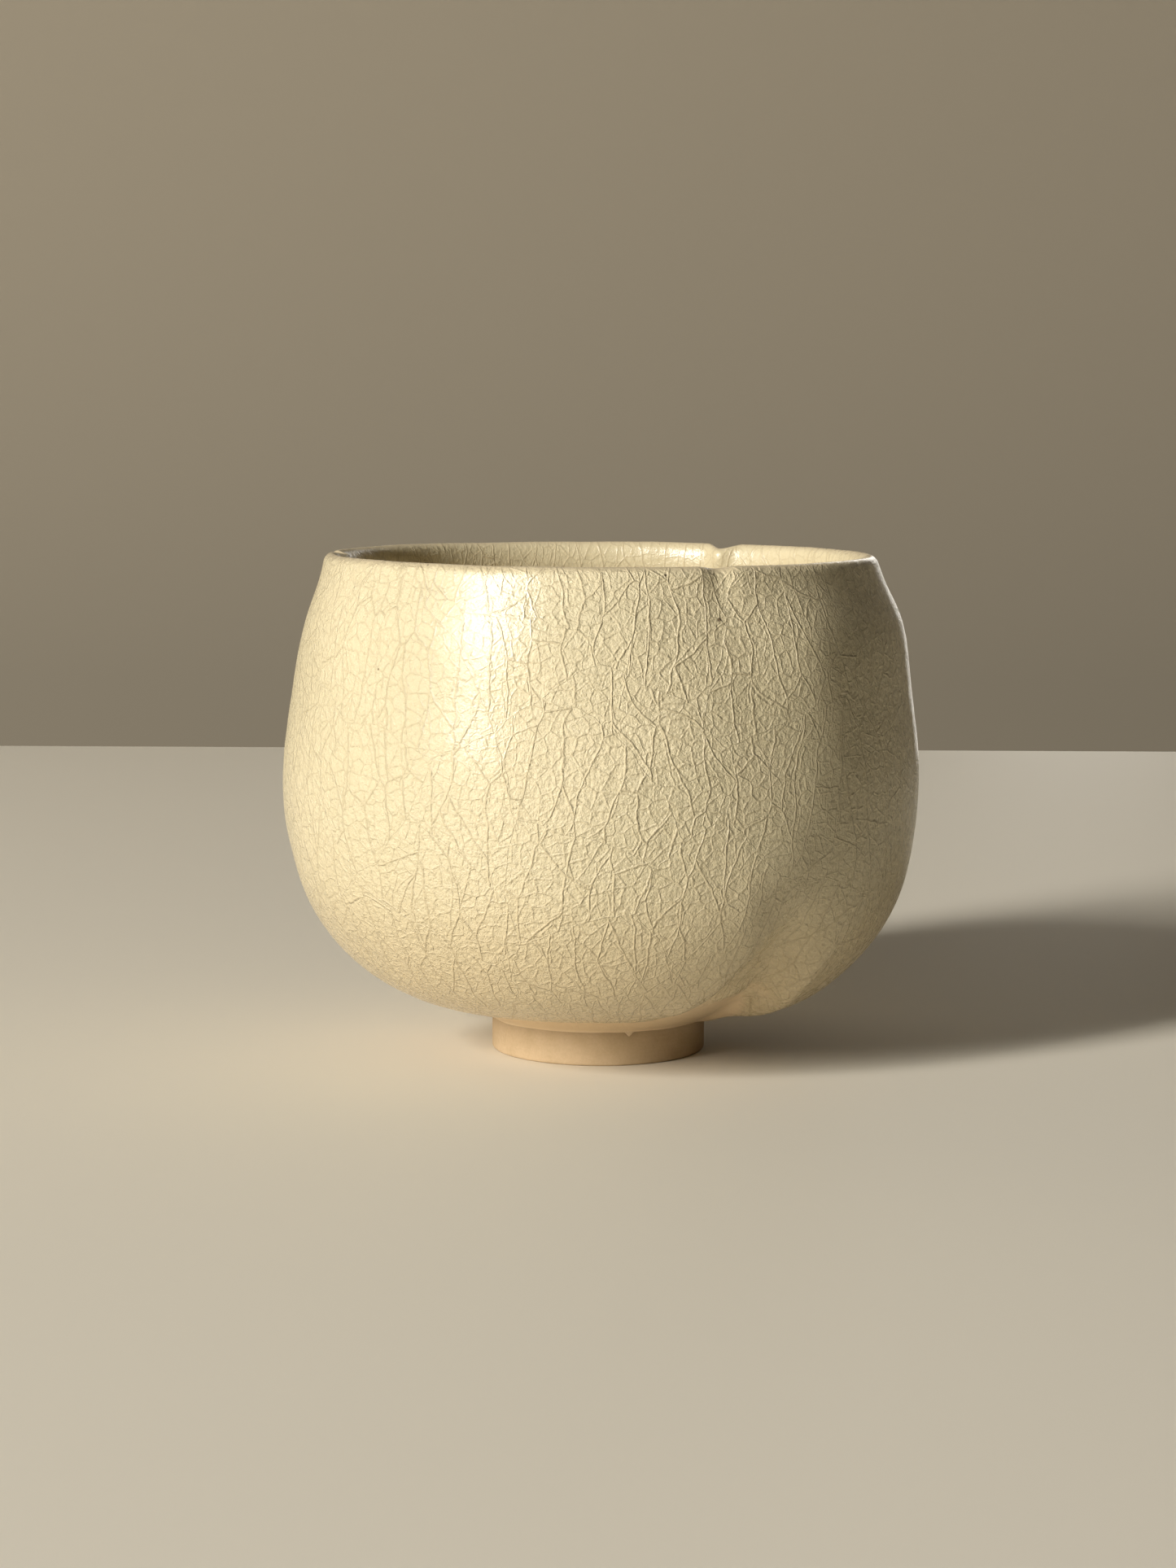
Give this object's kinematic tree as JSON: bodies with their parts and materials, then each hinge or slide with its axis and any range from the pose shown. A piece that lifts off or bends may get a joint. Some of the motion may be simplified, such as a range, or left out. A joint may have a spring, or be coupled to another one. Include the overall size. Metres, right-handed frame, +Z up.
{
  "type": "matcha bowl",
  "caption": "Lobed stoneware tea bowl on a turned foot ring, with a crackled cream glaze inside and out, for whisking and drinking matcha.",
  "frame": {"origin": "centre of the foot ring's resting face, on the surface that the bowl stands on", "axes": "+Z up out of the bowl's mouth, along its axis; +X points at the fuller lobe; -Y is the side with the front pinch in the lip"},
  "size_m": [0.1097, 0.1096, 0.086],
  "materials": {
    "stoneware": "bare fired clay, matte, fine grained",
    "crackle_glaze": "glossy cream glaze with a fine crackle"
  },
  "bodies": {
    "root": {"clay_body": "stoneware", "foot_ring": "stoneware", "outer_glaze": "crackle_glaze", "inner_glaze": "crackle_glaze"}
  },
  "joints": []
}
